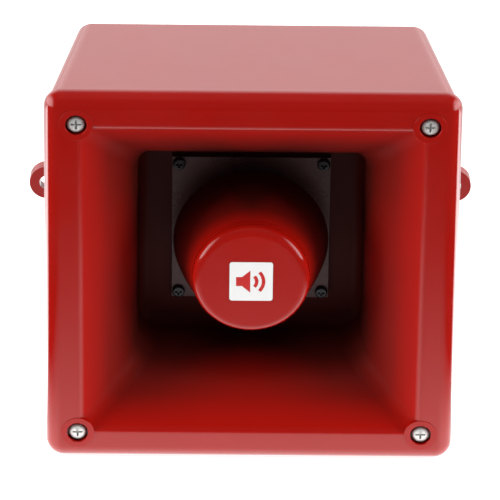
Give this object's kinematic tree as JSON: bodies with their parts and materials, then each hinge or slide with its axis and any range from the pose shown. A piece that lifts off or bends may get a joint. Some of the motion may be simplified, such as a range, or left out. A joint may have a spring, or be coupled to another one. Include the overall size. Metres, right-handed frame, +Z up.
{
  "type": "alarm siren",
  "caption": "Wall-mounted alarm horn sounder: square flared mouth with a re-entrant bell, screwed front moulding, tapered housing with side lugs.",
  "frame": {"origin": "midpoint between the two fixing lug holes, on the flat rear face", "axes": "+Z up, +X to the right seen from in front, -Y out of the horn's mouth"},
  "size_m": [0.2, 0.1002, 0.18],
  "materials": {
    "red_abs": "glossy moulded flame-retardant plastic, fire red",
    "badge_white": "glossy white printed badge",
    "black_rubber": "soft black rubber",
    "brass": "turned brass",
    "black_plastic": "matt black moulded plastic",
    "board_green": "solder-masked glass epoxy",
    "zinc_steel": "zinc-plated steel",
    "stainless": "bright stainless steel",
    "terminal_green": "green moulded terminal body",
    "switch_blue": "blue moulded switch body",
    "white_plastic": "white moulded plastic",
    "dark_steel": "blackened steel",
    "dark_plate": "dark glossy moulded plate",
    "copper": "enamelled copper winding",
    "capacitor_sleeve": "dark shrink sleeve",
    "aluminium": "extruded aluminium",
    "fuse_glass": "clear glass cartridge",
    "film": "amber phenolic film",
    "ferrite": "pressed ferrite",
    "lead_red": "insulated hook-up wire"
  },
  "bodies": {
    "housing": {"rear_housing": "red_abs", "cover_seal": "black_rubber", "corner_inserts": "brass", "stopping_plug": "black_plastic", "plug_seal": "black_rubber", "circuit_board": "board_green", "board_spacers": "brass", "board_screws": "zinc_steel", "supply_terminals": "terminal_green", "supply_terminals_screws": "zinc_steel", "control_terminals": "terminal_green", "control_terminals_screws": "zinc_steel", "tone_switch": "switch_blue", "volume_control": "switch_blue", "transformer_core": "dark_steel", "transformer_winding": "copper", "capacitors": "capacitor_sleeve", "heat_sink": "aluminium", "power_transistor": "black_plastic", "controller_chip": "black_plastic", "fuse_clips": "zinc_steel", "fuse_link": "fuse_glass", "lead_header": "white_plastic"},
    "front": {"horn_front": "red_abs", "cover_screws": "stainless", "screw_seals": "black_rubber", "plate_screws": "dark_steel", "throat_plate": "dark_plate", "throat_tube": "red_abs", "bell_reflector": "red_abs", "nose_badge": "badge_white", "driver_gasket": "black_rubber", "driver_front": "black_plastic", "phase_plug": "black_plastic", "diaphragm_surround": "film", "top_plate": "dark_steel", "magnet_ring": "ferrite", "pole_piece": "dark_steel", "driver_can": "black_plastic", "driver_bolts": "zinc_steel", "driver_tabs": "brass", "driver_lead": "lead_red", "lead_plug": "white_plastic"},
    "diaphragm": {"diaphragm": "film", "voice_coil": "copper"},
    "volume_rotor": {"volume_rotor": "white_plastic"},
    "tone_slider_1": {"tone_slider_1": "white_plastic"},
    "tone_slider_2": {"tone_slider_2": "white_plastic"},
    "tone_slider_3": {"tone_slider_3": "white_plastic"},
    "tone_slider_4": {"tone_slider_4": "white_plastic"},
    "tone_slider_5": {"tone_slider_5": "white_plastic"}
  },
  "joints": [
    {"name": "front_removal", "type": "slide", "parent": "housing", "child": "front", "axis": [0, -1, 0], "range_m": [0, 0.12]},
    {"name": "diaphragm_travel", "type": "slide", "parent": "front", "child": "diaphragm", "axis": [0, -1, 0], "range_m": [-0.0004, 0.0004], "stiffness_N_per_m": 200},
    {"name": "volume_turn", "type": "hinge", "parent": "housing", "child": "volume_rotor", "pos_m": [-0.044, -0.013, 0.043], "axis": [0, -1, 0], "range_deg": [-135, 135]},
    {"name": "tone_select_1", "type": "slide", "parent": "housing", "child": "tone_slider_1", "axis": [0, 0, 1], "range_m": [0, 0.0015]},
    {"name": "tone_select_2", "type": "slide", "parent": "housing", "child": "tone_slider_2", "axis": [0, 0, 1], "range_m": [0, 0.0015]},
    {"name": "tone_select_3", "type": "slide", "parent": "housing", "child": "tone_slider_3", "axis": [0, 0, 1], "range_m": [0, 0.0015]},
    {"name": "tone_select_4", "type": "slide", "parent": "housing", "child": "tone_slider_4", "axis": [0, 0, 1], "range_m": [0, 0.0015]},
    {"name": "tone_select_5", "type": "slide", "parent": "housing", "child": "tone_slider_5", "axis": [0, 0, 1], "range_m": [0, 0.0015]}
  ]
}
